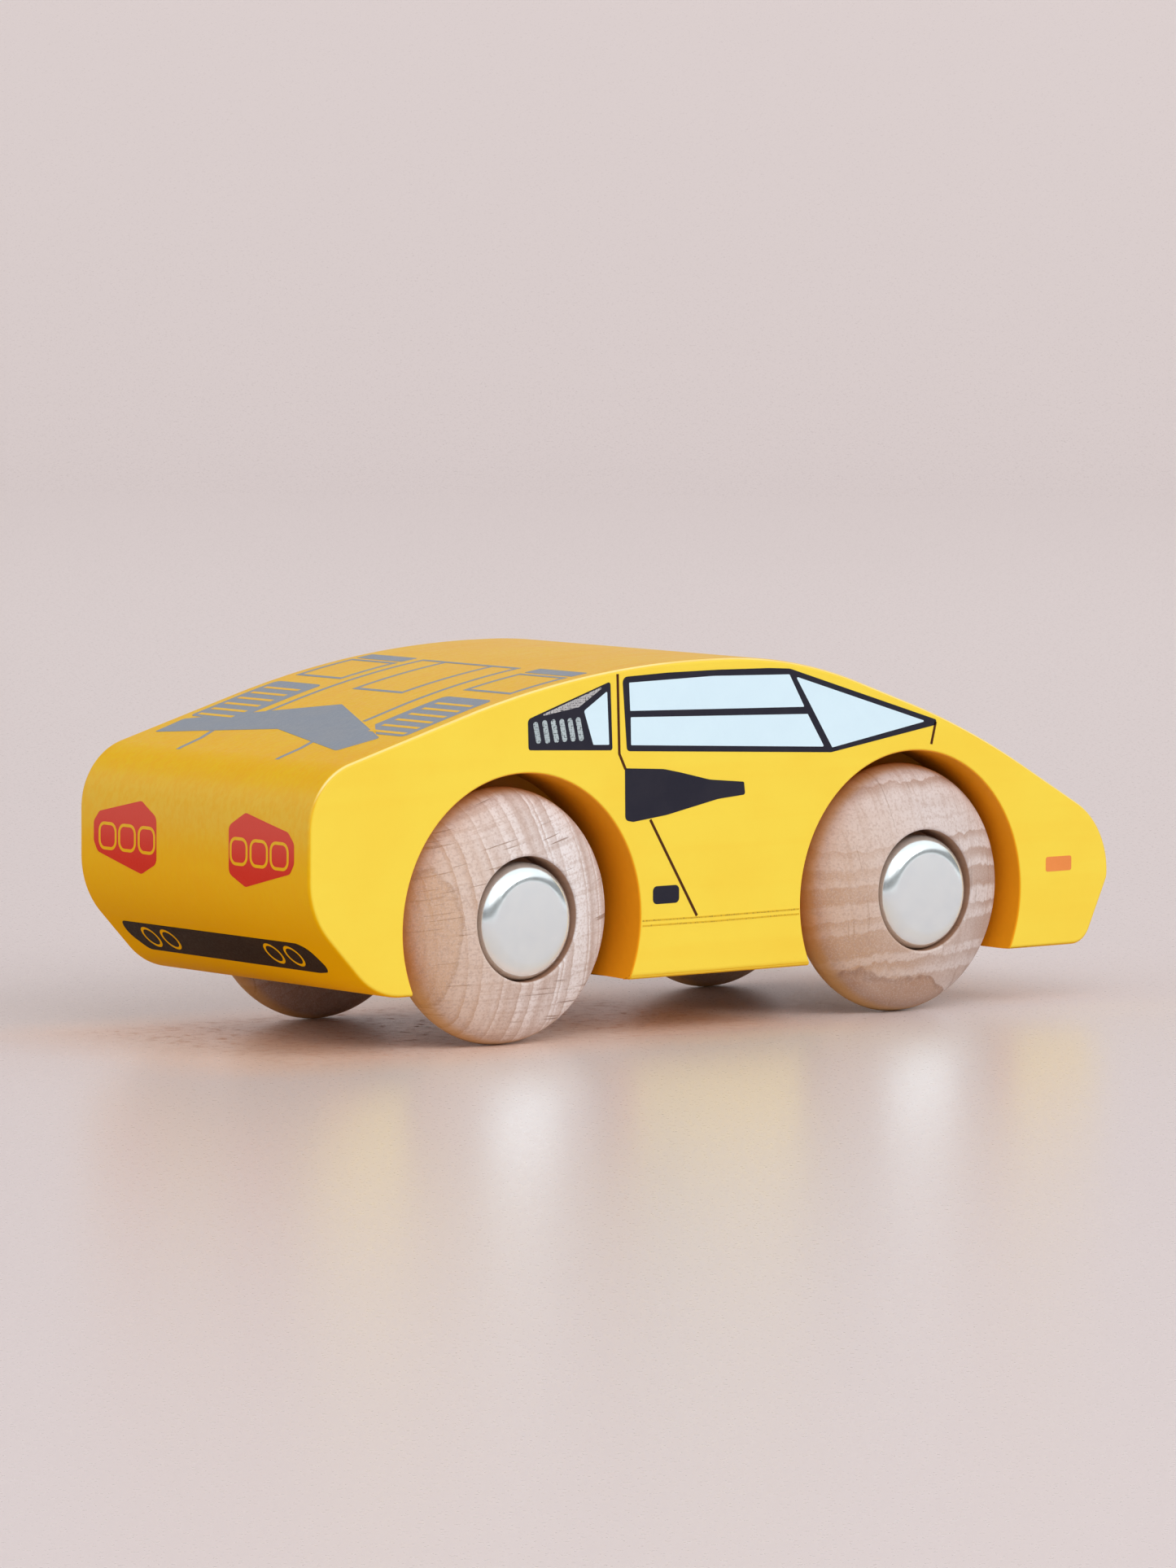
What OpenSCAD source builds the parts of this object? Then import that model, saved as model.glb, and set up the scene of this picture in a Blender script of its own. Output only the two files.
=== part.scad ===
// Wooden push-along sports car: a wedge-shaped painted block on four turned wheels.
// Steel axles run through the block, and pressed caps with toothed lock washers hold the wheels on.
// Frame: +X towards the nose, +Y to the car's left, +Z up, origin on the floor below the middle of the body.

/* [Body] */
// Length of the body from tail to nose
body_length = 123.4; // [116:0.1:140]
// Width of the body across its two side faces
body_width = 45; // [42:1:60]
// Height of the roof above the floor
roof_height = 44.4; // [42:0.1:50]
// Height of the flat underside above the floor
ground_clearance = 7; // [5:0.1:9]
// Radius sanded along the outline edges of both side faces
edge_radius = 0.5; // [0.3:0.1:1.5]

/* [Tail] */
// How far the underside stops short of the tail
tail_undercut = 9.6; // [6:0.1:12]
// Height above the floor where the slanted lower tail turns upright
tail_low_height = 17; // [14:0.1:20]
// Height above the floor of the tail's upper corner
tail_top_height = 32.7; // [29:0.1:36]
// Radius between the underside and the slanted lower tail
tail_foot_radius = 9; // [2:0.5:12]
// Radius between the slanted lower tail and the upright tail
tail_low_radius = 10; // [2:0.5:14]
// Radius between the upright tail and the rear deck
tail_top_radius = 8; // [2:0.5:10]

/* [Roof] */
// Distance from the tail to the rear end of the roof
roof_start = 40.8; // [34:0.1:46]
// Distance from the tail to the front end of the roof
roof_end = 72.2; // [66:0.1:78]
// Radius of the crown between the rear deck and the roof
roof_rear_radius = 135; // [20:5:150]
// Radius of the crown between the roof and the windscreen
roof_front_radius = 65; // [20:5:90]

/* [Nose] */
// Distance from the tail to the break between windscreen and bonnet
bonnet_start = 100.2; // [94:0.1:106]
// Height above the floor of the break between windscreen and bonnet
bonnet_height = 34.6; // [32:0.1:37]
// Radius of the break between windscreen and bonnet
bonnet_radius = 115; // [20:5:150]
// Height above the floor of the nose's upper corner
nose_top_height = 21.6; // [19:0.1:25]
// Height above the floor of the nose's lower corner
nose_low_height = 15.1; // [12:0.1:17]
// How far the underside stops short of the nose
nose_undercut = 3.8; // [2:0.1:8]
// Radius of the nose's upper corner
nose_top_radius = 10; // [2:0.5:12]
// Radius of the nose's lower corner
nose_low_radius = 2.7; // [1:0.1:5]
// Radius between the nose and the underside
nose_foot_radius = 3; // [1:0.5:5]

/* [Wheels] */
// Distance between the two axles
wheelbase = 61.5; // [58:0.5:66]
// Distance from the tail to the rear axle
rear_overhang = 31.2; // [28:0.1:34]
// Diameter of a wheel at its tread
wheel_diameter = 30.2; // [26:0.1:32]
// Thickness of a wheel at its hub
wheel_thickness = 9.6; // [8:0.1:12]
// How far a wheel's hub stands out past the body's side
wheel_proud = 0.9; // [0:0.1:2]
// Radius of the tread's inner edge
tread_inner_radius = 3.9; // [1:0.1:4.5]
// Radius of the tread's outer shoulder
tread_shoulder_radius = 4.2; // [1:0.1:4.5]
// How far the shoulder's corner lies behind the hub
shoulder_drop = 3.6; // [2:0.1:4]
// How far the middle of the wheel's face lies behind the hub
crown_drop = 1.6; // [0.5:0.1:1.8]
// Distance from the tread to the middle of the wheel's face
crown_inset = 3.5; // [2:0.1:4.5]
// Radius of the crown across the wheel's face
crown_radius = 14; // [4:1:20]
// Depth of the round recess that takes the hub cap
recess_depth = 4.6; // [3.5:0.1:5.5]
// Small radius on the edges of the recess and the bore
recess_edge_radius = 0.3; // [0.1:0.1:0.6]

/* [Wheel arches] */
// Gap between the tread and the arch above it
arch_gap = 2.5; // [2:0.1:4]
// How far the front arch is cut behind the front axle
front_arch_setback = 1.5; // [0:0.1:1.5]
// Width of the chamfer round an arch's mouth
arch_chamfer = 0.3; // [0.1:0.1:0.8]
// How far below its bore an arch is centred
arch_drop = 0.3; // [0:0.1:0.6]

/* [Axles and caps] */
// Diameter of the axles
axle_diameter = 5; // [4:0.1:6]
// Width of the chamfer on the axle ends
axle_chamfer = 0.4; // [0.1:0.1:0.8]
// Room round an axle in its bore through the body
axle_clearance = 0.1; // [0.05:0.05:0.3]
// Room round an axle in a wheel's bore
wheel_play = 0.35; // [0.2:0.05:0.8]
// Room that stays where a wheel rests on its axle
running_gap = 0.05; // [0.02:0.01:0.1]
// Room between a wheel and what stands on each side of it
side_play = 0.5; // [0.3:0.1:1]
// Diameter of a hub cap
cap_diameter = 13.8; // [12:0.1:15]
// How far a cap's face stands out past the hub
cap_proud = 0.5; // [0:0.1:1.5]
// Radius of a cap's rounded shoulder
cap_shoulder_radius = 2.2; // [0.8:0.1:3]
// Wall thickness of a cap
cap_wall = 0.5; // [0.3:0.05:0.8]
// Width of the rim curled in at a cap's mouth
cap_curl = 0.7; // [0.4:0.1:1]
// Room round a cap when its wheel rests on the axle
cap_clearance = 0.1; // [0.05:0.05:0.5]

/* [Lock washers] */
// Thickness of a lock washer
washer_thickness = 0.5; // [0.3:0.05:0.7]
// Width of a lock washer's flat outer ring
washer_ring = 1.6; // [1.2:0.1:2]
// How far the teeth rise from the ring to the axle
tooth_rise = 0.8; // [0.3:0.1:1.2]
// Number of teeth round the axle
tooth_count = 8; // [6:1:12]
// Width of the slots between the teeth
tooth_slot = 0.7; // [0.4:0.1:1]
// Room round a lock washer in its cap and on its axle
washer_seat_gap = 0.02; // [0.01:0.01:0.05]

/* [Hidden] */
$fn = 96;
// Largest turn and longest chord of one step along an arc
arc_step = 6;
arc_chord = 2.5;
// Angles of the steps that round a body edge
edge_angles = [0, 30, 60, 90];
// Smallest radius left on a corner that is drawn in
min_radius = 0.05;
// Extra length that lets a cut pass right through a face
overcut = 1;

body_color = "#f2c21c";
wheel_color = "#d9bfa6";
steel_color = "#c9cdd0";
spring_color = "#8d9196";

// Stations along the body
tail_x = -body_length / 2;
nose_x = body_length / 2;
rear_axle_x = tail_x + rear_overhang;
front_axle_x = rear_axle_x + wheelbase;
rear_arch_x = rear_axle_x;
front_arch_x = front_axle_x - front_arch_setback;

// Radii and heights of the running gear: the axles rest low in the wheels, and the body rests on the axles
wheel_radius = wheel_diameter / 2;
axle_radius = axle_diameter / 2;
wheel_bore_radius = axle_radius + wheel_play;
body_bore_radius = axle_radius + axle_clearance;
cap_radius = cap_diameter / 2;
recess_radius = cap_radius + wheel_play + cap_clearance;
arch_radius = wheel_radius + arch_gap;
axle_z = wheel_radius - wheel_play + running_gap;
body_bore_z = axle_z - max(axle_clearance - running_gap, 0);
arch_z = body_bore_z - arch_drop;

// Distances from the middle plane out to the pieces of one side
side_y = body_width / 2;
hub_y = side_y + wheel_proud;
wheel_inner_y = hub_y - wheel_thickness;
arch_floor_y = wheel_inner_y - side_play;
recess_floor_y = hub_y - recess_depth;
cap_mouth_y = recess_floor_y + side_play;
cap_face_y = hub_y + cap_proud;
axle_end_y = cap_face_y - cap_wall;
washer_y = cap_mouth_y + cap_wall;

// Corners of the body's side outline, each with the radius that rounds it
body_corners = [
    [tail_x + tail_undercut, ground_clearance, tail_foot_radius],
    [nose_x - nose_undercut, ground_clearance, nose_foot_radius],
    [nose_x, nose_low_height, nose_low_radius],
    [nose_x, nose_top_height, nose_top_radius],
    [tail_x + bonnet_start, bonnet_height, bonnet_radius],
    [tail_x + roof_end, roof_height, roof_front_radius],
    [tail_x + roof_start, roof_height, roof_rear_radius],
    [tail_x, tail_top_height, tail_top_radius],
    [tail_x, tail_low_height, tail_low_radius]
];

// Corners of a wheel's section: distance from the axle, distance from the inner face, radius
wheel_corners = [
    [wheel_bore_radius, 0, recess_edge_radius],
    [wheel_radius, 0, tread_inner_radius],
    [wheel_radius, wheel_thickness - shoulder_drop, tread_shoulder_radius],
    [wheel_radius - crown_inset, wheel_thickness - crown_drop, crown_radius],
    [recess_radius, wheel_thickness, recess_edge_radius],
    [recess_radius, wheel_thickness - recess_depth, 0],
    [wheel_bore_radius, wheel_thickness - recess_depth, 0]
];

// Corners of a cap's section: distance from the axle, distance from the mouth, radius
cap_height = cap_face_y - cap_mouth_y;
cap_inner_radius = cap_radius - cap_wall;
cap_corners = [
    [cap_inner_radius - cap_curl, 0, 0],
    [cap_radius, 0, cap_wall],
    [cap_radius, cap_height, cap_shoulder_radius],
    [0, cap_height, 0],
    [0, cap_height - cap_wall, 0],
    [cap_inner_radius, cap_height - cap_wall, cap_shoulder_radius - cap_wall],
    [cap_inner_radius, cap_wall, 0],
    [cap_inner_radius - cap_curl, cap_wall, 0]
];

// Section of a lock washer: flat ring, then teeth that lean out along the axle
washer_radius = cap_inner_radius - washer_seat_gap;
tooth_root_radius = washer_radius - washer_ring;
tooth_tip_radius = axle_radius + washer_seat_gap;
washer_section = [
    [washer_radius, 0],
    [washer_radius, washer_thickness],
    [tooth_root_radius, washer_thickness],
    [tooth_tip_radius, washer_thickness + tooth_rise],
    [tooth_tip_radius, tooth_rise],
    [tooth_root_radius, 0]
];

// Names and places of the wheel stations
axle_names = ["front", "rear"];
axle_xs = [front_axle_x, rear_axle_x];
arch_xs = [front_arch_x, rear_arch_x];
side_names = ["left", "right"];
side_signs = [1, -1];

function unit(v) = v / norm(v);
function xy(corner) = [corner[0], corner[1]];
function neighbour(c, i, step) = xy(c[(i + step + len(c)) % len(c)]);
function turned(v, angle) = [v[0] * cos(angle) - v[1] * sin(angle), v[0] * sin(angle) + v[1] * cos(angle)];

// Half of the angle between the two edges that meet at corner i
function half_angle(c, i) =
    acos(unit(neighbour(c, i, -1) - xy(c[i])) * unit(neighbour(c, i, 1) - xy(c[i]))) / 2;

// Length that the rounding of corner i would like to take off each of its edges
function wanted_length(c, i) = c[i][2] / tan(half_angle(c, i));

// Share of that length that the edge from corner i towards its neighbour has room for
function edge_share(c, i, step) =
    let (other = (i + step + len(c)) % len(c))
    let (wanted = wanted_length(c, i) + wanted_length(c, other))
    min(1, norm(neighbour(c, i, step) - xy(c[i])) / max(wanted, 0.001));

// Points of the arc that rounds corner i, tangent to both of its edges and then drawn in by the inset
function corner_arc(c, i, inset) =
    let (here = xy(c[i]))
    let (back = unit(neighbour(c, i, -1) - here))
    let (ahead = unit(neighbour(c, i, 1) - here))
    let (half = half_angle(c, i))
    let (cut = wanted_length(c, i) * min(edge_share(c, i, -1), edge_share(c, i, 1)))
    let (radius = cut * tan(half))
    let (centre = here + unit(back + ahead) * cut / cos(half))
    let (turn = (180 - 2 * half) * sign(cross(ahead, back)))
    let (steps = ceil(abs(turn) / min(arc_step, arc_chord / radius * 180 / PI)))
    let (arm = (here + back * cut - centre) * max(radius - inset, min_radius) / radius)
    [for (k = [0 : steps]) centre + turned(arm, turn * k / steps)];

// Outline through corners given as [x, y, radius], in counter-clockwise order. Only an outline whose
// corners are all rounded can be drawn in by an inset.
function rounded_outline(c, inset = 0) =
    [for (i = [0 : len(c) - 1]) each (c[i][2] > 0 ? corner_arc(c, i, inset) : [xy(c[i])])];

// Places what is drawn along +Z so that it runs outwards along Y, starting at distance y on one side
module outwards(x, y, z, side) {
    translate([x, side * y, z])
        rotate([-90 * side, 0, 0])
            children();
}

// The wedge block, with both of its side faces sanded round along the outline
module body_block() {
    hull()
        for (angle = edge_angles)
            rotate([90, 0, 0])
                linear_extrude(body_width - 2 * edge_radius * (1 - sin(angle)), center = true)
                    polygon(rounded_outline(body_corners, edge_radius * (1 - cos(angle))));
}

// Blind wheel arch cut in from one side, with its chamfered mouth
module arch_cut(x, side) {
    outwards(x, arch_floor_y, arch_z, side)
        cylinder(r = arch_radius, h = side_y - arch_floor_y + overcut);
    outwards(x, side_y - arch_chamfer, arch_z, side)
        cylinder(r1 = arch_radius, r2 = arch_radius + arch_chamfer + overcut, h = arch_chamfer + overcut);
}

module body() {
    color(body_color)
        difference() {
            body_block();
            for (x = arch_xs, side = side_signs)
                arch_cut(x, side);
            for (x = axle_xs)
                translate([x, 0, body_bore_z])
                    rotate([90, 0, 0])
                        cylinder(r = body_bore_radius, h = body_width, center = true);
        }
}

// Plain rod with chamfered ends
module axle(x) {
    rod_section = [
        [0, -axle_end_y],
        [axle_radius - axle_chamfer, -axle_end_y],
        [axle_radius, -axle_end_y + axle_chamfer],
        [axle_radius, axle_end_y - axle_chamfer],
        [axle_radius - axle_chamfer, axle_end_y],
        [0, axle_end_y]
    ];
    color(steel_color)
        outwards(x, 0, axle_z, 1)
            rotate_extrude()
                polygon(rod_section);
}

// Turned wheel: bullnose tread, crowned face, recess for the cap and a bore for the axle
module wheel(x, side) {
    color(wheel_color)
        outwards(x, wheel_inner_y, wheel_radius, side)
            rotate_extrude()
                polygon(rounded_outline(wheel_corners));
}

// Drawn cup with a curled rim, which covers the axle's end
module hub_cap(x, side) {
    color(steel_color)
        outwards(x, cap_mouth_y, axle_z, side)
            rotate_extrude()
                polygon(rounded_outline(cap_corners));
}

// Spring washer in the cap's mouth, with slotted teeth that grip the axle
module lock_washer(x, side) {
    color(spring_color)
        outwards(x, washer_y, axle_z, side)
            difference() {
                rotate_extrude()
                    polygon(washer_section);
                for (k = [0 : tooth_count - 1])
                    rotate(k * 360 / tooth_count)
                        translate([0, -tooth_slot / 2, -overcut])
                            cube([tooth_root_radius, tooth_slot, washer_thickness + tooth_rise + 2 * overcut]);
            }
}

body();
for (i = [0 : len(axle_names) - 1]) {
    axle(axle_xs[i]);
    for (j = [0 : len(side_names) - 1]) {
        place = str(axle_names[i], "_", side_names[j]);
        wheel(axle_xs[i], side_signs[j]);
        hub_cap(axle_xs[i], side_signs[j]);
        lock_washer(axle_xs[i], side_signs[j]);
    }
}
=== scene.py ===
import math

import bpy
from mathutils import Matrix, Vector


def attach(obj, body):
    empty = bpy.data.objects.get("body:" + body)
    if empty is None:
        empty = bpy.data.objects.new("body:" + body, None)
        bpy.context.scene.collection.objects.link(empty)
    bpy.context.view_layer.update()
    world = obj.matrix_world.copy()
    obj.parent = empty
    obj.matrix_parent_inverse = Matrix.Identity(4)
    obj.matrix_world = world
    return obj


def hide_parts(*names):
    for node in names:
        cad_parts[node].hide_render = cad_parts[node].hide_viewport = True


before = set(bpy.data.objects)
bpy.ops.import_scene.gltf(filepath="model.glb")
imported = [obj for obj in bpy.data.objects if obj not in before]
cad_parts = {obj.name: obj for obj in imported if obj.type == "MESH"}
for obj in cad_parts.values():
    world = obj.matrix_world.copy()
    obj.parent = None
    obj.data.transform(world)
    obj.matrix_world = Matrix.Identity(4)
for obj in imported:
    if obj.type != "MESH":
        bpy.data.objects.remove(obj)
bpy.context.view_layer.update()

mm = 0.001
scene = bpy.context.scene
print("frame loaded:", len(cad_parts), "nodes")


# selecting, tracing and applying

def deselectAll():
    if bpy.context.mode != "OBJECT":
        bpy.ops.object.mode_set(mode="OBJECT")
    bpy.ops.object.select_all(action="DESELECT")


def activate(piece):
    deselectAll()
    piece.select_set(True)
    bpy.context.view_layer.objects.active = piece


def rename(piece, name):
    piece.name = name
    piece.data.name = name


def editAll(piece):
    activate(piece)
    bpy.ops.object.mode_set(mode="EDIT")
    bpy.ops.mesh.select_mode(type="VERT")
    bpy.ops.mesh.select_all(action="SELECT")


def startPicking(piece, kind):
    editAll(piece)
    bpy.ops.mesh.select_all(action="DESELECT")
    bpy.ops.mesh.select_mode(type=kind)
    bpy.ops.object.mode_set(mode="OBJECT")


def pickEdges(piece, wanted):
    # leaves edit mode on with only the wanted edges selected
    startPicking(piece, "EDGE")
    points = [v.co / mm for v in piece.data.vertices]
    for edge in piece.data.edges:
        edge.select = wanted(points[edge.vertices[0]], points[edge.vertices[1]])
    bpy.ops.object.mode_set(mode="EDIT")


def pickFaces(piece, wanted):
    startPicking(piece, "FACE")
    for face in piece.data.polygons:
        face.select = wanted(face.normal)
    bpy.ops.object.mode_set(mode="EDIT")


def applyModifier(piece, kind, **values):
    activate(piece)
    modifier = piece.modifiers.new(kind.lower(), kind)
    for key, value in values.items():
        setattr(modifier, key, value)
    bpy.ops.object.modifier_apply(modifier=modifier.name)


def roundPath(corners, tolerance=0.004):
    # corners are (across, up, radius) in mm; arcs keep within the tolerance
    path = []
    for index, (across, up, radius) in enumerate(corners):
        here = Vector((across, up))
        if radius <= 0:
            path.append(here)
            continue
        back = (Vector(corners[index - 1][:2]) - here).normalized()
        ahead = (Vector(corners[(index + 1) % len(corners)][:2]) - here).normalized()
        half = back.angle(ahead) / 2
        centre = here + (back + ahead).normalized() * radius / math.sin(half)
        arm = here + back * radius / math.tan(half) - centre
        sweep = math.pi - 2 * half
        if back.x * ahead.y - back.y * ahead.x > 0:
            sweep = -sweep
        stride = 2 * math.acos(1 - tolerance / max(radius, 2 * tolerance))
        steps = max(2, math.ceil(abs(sweep) / stride))
        for step in range(steps + 1):
            path.append(centre + Matrix.Rotation(sweep * step / steps, 2) @ arm)
    return path


def traceWire(name, points):
    # a plane merged to one vertex is drawn out along the points
    deselectAll()
    bpy.ops.mesh.primitive_plane_add(size=mm)
    piece = bpy.context.object
    rename(piece, name)
    editAll(piece)
    bpy.ops.mesh.merge(type="CENTER")
    bpy.ops.transform.translate(value=points[0])
    for here, there in zip(points, points[1:]):
        bpy.ops.mesh.extrude_vertices_move(TRANSFORM_OT_translate={"value": tuple(there - here)})
    bpy.ops.mesh.select_all(action="SELECT")
    return piece


def turnOnLathe(name, section, place, steps, closed):
    # the section is (radius, distance outwards, corner radius) about an axle along y, on the right side
    axleX, startY, axleZ = place
    points = []
    for radius, outwards in roundPath(section):
        points.append(Vector((axleX + radius, -(startY + outwards), axleZ)) * mm)
    piece = traceWire(name, points)
    if closed:
        bpy.ops.mesh.edge_face_add()
        bpy.ops.mesh.delete(type="ONLY_FACE")
        bpy.ops.mesh.select_all(action="SELECT")
    bpy.ops.mesh.spin(steps=steps, angle=2 * math.pi, center=(axleX * mm, 0, axleZ * mm), axis=(0, 1, 0))
    bpy.ops.mesh.select_all(action="SELECT")
    bpy.ops.mesh.remove_doubles(threshold=0.002 * mm)
    bpy.ops.mesh.normals_make_consistent(inside=False)
    return piece


def editCopy(piece, name):
    activate(piece)
    bpy.ops.object.duplicate(linked=False)
    copy = bpy.context.object
    rename(copy, name)
    editAll(copy)
    return copy


def copyTo(piece, name, shiftX, axleX, turned):
    copy = editCopy(piece, name)
    bpy.ops.transform.translate(value=(shiftX * mm, 0, 0))
    if turned:
        bpy.ops.transform.rotate(value=math.pi, orient_axis="Z", center_override=(axleX * mm, 0, 0))
    deselectAll()
    return copy


def smoothShade(piece, degrees, weighted=False):
    activate(piece)
    bpy.ops.object.shade_smooth_by_angle(angle=math.radians(degrees))
    if weighted:
        applyModifier(piece, "WEIGHTED_NORMAL", keep_sharp=True, weight=100)


def wear(piece, material):
    piece.data.materials.clear()
    piece.data.materials.append(material)


# node helpers

def addNode(tree, kind, links=None, **values):
    node = tree.nodes.new(kind)
    for key, value in values.items():
        setattr(node, key, value)
    for socket, source in (links or {}).items():
        if isinstance(source, bpy.types.NodeSocket):
            tree.links.new(source, node.inputs[socket])
        else:
            node.inputs[socket].default_value = source
    return node


def maths(tree, operation, first, second=0.0, third=0.0, clamp=False):
    links = {0: first, 1: second, 2: third}
    return addNode(tree, "ShaderNodeMath", links, operation=operation, use_clamp=clamp).outputs[0]


def times(tree, first, second):
    return maths(tree, "MULTIPLY", first, second)


def mixed(tree, first, firstShare, second, secondShare, clamp=False):
    return maths(tree, "ADD", times(tree, first, firstShare), times(tree, second, secondShare), clamp=clamp)


def hypotenuse(tree, first, second):
    return maths(tree, "SQRT", maths(tree, "ADD", times(tree, first, first), times(tree, second, second)))


def vectors(tree, operation, first, second=(0, 0, 0)):
    node = addNode(tree, "ShaderNodeVectorMath", {0: first, 1: second}, operation=operation)
    return node.outputs["Value" if operation in ("DOT_PRODUCT", "DISTANCE", "LENGTH") else "Vector"]


def scaled(tree, vector, factors):
    return vectors(tree, "MULTIPLY", vector, factors)


def parted(tree, vector):
    return addNode(tree, "ShaderNodeSeparateXYZ", {0: vector}).outputs


def blendColour(tree, factor, first, second, mode="MIX"):
    links = {0: factor, 6: first, 7: second}
    return addNode(tree, "ShaderNodeMix", links, data_type="RGBA", blend_type=mode).outputs[2]


def spread(tree, value, low, high, toLow=0.0, toHigh=1.0):
    links = {0: value, 1: low, 2: high, 3: toLow, 4: toHigh}
    return addNode(tree, "ShaderNodeMapRange", links, interpolation_type="SMOOTHSTEP").outputs[0]


def spreadMm(tree, value, band, toLow=0.0, toHigh=1.0):
    # the band is two lengths in mm
    return spread(tree, value, band[0] * mm, band[1] * mm, toLow, toHigh)


def noise(tree, vector, scale, detail=2.0, roughness=0.5):
    links = {"Vector": vector, "Scale": scale, "Detail": detail, "Roughness": roughness}
    return addNode(tree, "ShaderNodeTexNoise", links).outputs[0]


def newGroup(name, *labels):
    # every group takes a vector and the labelled values
    tree = bpy.data.node_groups.new(name, "ShaderNodeTree")
    tree.interface.new_socket(name="Vector", in_out="INPUT", socket_type="NodeSocketVector")
    for label in labels:
        tree.interface.new_socket(name=label, in_out="INPUT", socket_type="NodeSocketFloat")
    return tree, tree.nodes.new("NodeGroupInput").outputs


def endGroup(tree, results):
    for label in results:
        tree.interface.new_socket(name=label, in_out="OUTPUT", socket_type="NodeSocketFloat")
    end = tree.nodes.new("NodeGroupOutput")
    for label, source in results.items():
        tree.links.new(source, end.inputs[label])
    return tree


def placeGroup(tree, group, links):
    return addNode(tree, "ShaderNodeGroup", links, node_tree=group).outputs


def newMaterial(name, **plain):
    # plain values go straight on the shader's own sockets
    material = bpy.data.materials.new(name)
    material.use_nodes = True
    tree = material.node_tree
    tree.nodes.clear()
    shader = tree.nodes.new("ShaderNodeBsdfPrincipled")
    output = tree.nodes.new("ShaderNodeOutputMaterial")
    tree.links.new(shader.outputs[0], output.inputs[0])
    for socket, value in plain.items():
        shader.inputs[socket.replace("_", " ")].default_value = value
    place = tree.nodes.new("ShaderNodeTexCoord").outputs["Object"]
    return material, tree, shader, place


def feed(tree, shader, **sources):
    for socket, source in sources.items():
        tree.links.new(source, shader.inputs[socket.replace("_", " ")])


def addBump(tree, shader, height, strength, depth):
    # the depth is in mm
    links = {"Height": height, "Strength": strength, "Distance": depth * mm}
    feed(tree, shader, Normal=addNode(tree, "ShaderNodeBump", links).outputs[0])


# shared surface effects

def makeSpeckle():
    # soft clouding and fine specks, for sheen and tone
    tree, given = newGroup("speckle", "Cloud Scale", "Speck Scale")
    cloud = noise(tree, given["Vector"], given["Cloud Scale"], 3.0, 0.55)
    specks = noise(tree, given["Vector"], given["Speck Scale"], 2.0, 0.6)
    return endGroup(tree, {"Cloud": cloud, "Specks": specks})


def makeBoardGrain():
    # long fibres of a board that run with the car
    tree, given = newGroup("boardGrain", "Fibre Scale")
    drawn = scaled(tree, given["Vector"], (0.06, 1.0, 1.0))
    links = {0: drawn, "Scale": given["Fibre Scale"]}
    fine = addNode(tree, "ShaderNodeVectorMath", links, operation="SCALE").outputs[0]
    fibres = noise(tree, fine, 2200.0, 2.0, 0.6)
    figure = noise(tree, fine, 330.0, 3.0)
    return endGroup(tree, {"Fibres": fibres, "Figure": figure})


grainScales = {
    "around": 0.1,
    "wander": 80.0,
    "fray": (1500.0, 170.0, 60.0),
    "uneven": 0.9,
    "unevenReach": 2.2,
    "patches": 110.0,
    "rays": (1900.0, 110.0, 120.0),
    "checks": (2600.0, 120.0, 40.0),
    "pores": 3200.0,
}


def makeEndGrain(scales):
    # growth rings about a pith, with rays that cross them, seen on a cut end
    tree, given = newGroup("endGrain", "Pith X", "Pith Z", "Ring Width", "Wander", "Fray")
    x, y, z = parted(tree, given["Vector"])
    acrossX = maths(tree, "SUBTRACT", x, given["Pith X"])
    acrossZ = maths(tree, "SUBTRACT", z, given["Pith Z"])
    reach = hypotenuse(tree, acrossX, acrossZ)
    around = times(tree, maths(tree, "ARCTAN2", acrossZ, acrossX), scales["around"])
    alongRing = addNode(tree, "ShaderNodeCombineXYZ", {0: around, 1: reach, 2: y}).outputs[0]
    wander = maths(tree, "SUBTRACT", noise(tree, given["Vector"], scales["wander"], 1.0), 0.5)
    wavy = maths(tree, "MULTIPLY_ADD", wander, given["Wander"], reach)
    fray = maths(tree, "SUBTRACT", noise(tree, scaled(tree, alongRing, scales["fray"]), 1.0, 2.0), 0.5)
    wavy = maths(tree, "MULTIPLY_ADD", fray, given["Fray"], wavy)
    phase = maths(tree, "DIVIDE", wavy, given["Ring Width"])
    links = {"W": phase, "Scale": scales["uneven"], "Detail": 1.0}
    uneven = addNode(tree, "ShaderNodeTexNoise", links, noise_dimensions="1D").outputs[0]
    phase = maths(tree, "MULTIPLY_ADD", uneven, scales["unevenReach"], phase)
    # each ring darkens slowly and ends in a thin late line
    tooth = maths(tree, "FRACT", phase)
    drop = spread(tree, tooth, 0.90, 1.0, 1.0, 0.0)
    patches = noise(tree, scaled(tree, given["Vector"], (1.0, 0.3, 1.0)), scales["patches"], 1.0)
    patchy = spread(tree, patches, 0.36, 0.60, 0.50, 1.0)
    rings = times(tree, times(tree, spread(tree, tooth, 0.10, 0.80), drop), patchy)
    late = times(tree, times(tree, spread(tree, tooth, 0.76, 0.90), drop), patchy)
    step = maths(tree, "FLOOR", phase)
    bands = addNode(tree, "ShaderNodeTexWhiteNoise", {"W": step}, noise_dimensions="1D").outputs[0]
    rays = noise(tree, scaled(tree, alongRing, scales["rays"]), 1.0, 3.0, 0.65)
    checks = noise(tree, scaled(tree, alongRing, scales["checks"]), 1.0, 1.0, 0.4)
    pores = noise(tree, scaled(tree, given["Vector"], (1.0, 0.12, 1.0)), scales["pores"], 1.0)
    return endGroup(tree, {"Rings": rings, "Late": late, "Bands": bands, "Rays": rays,
                           "Checks": spread(tree, checks, 0.675, 0.73), "Pores": pores})


speckle = makeSpeckle()
boardGrain = makeBoardGrain()
endGrain = makeEndGrain(grainScales)


def addSpeckle(tree, place, cloudScale, speckScale):
    return placeGroup(tree, speckle, {"Vector": place, "Cloud Scale": cloudScale, "Speck Scale": speckScale})


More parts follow.
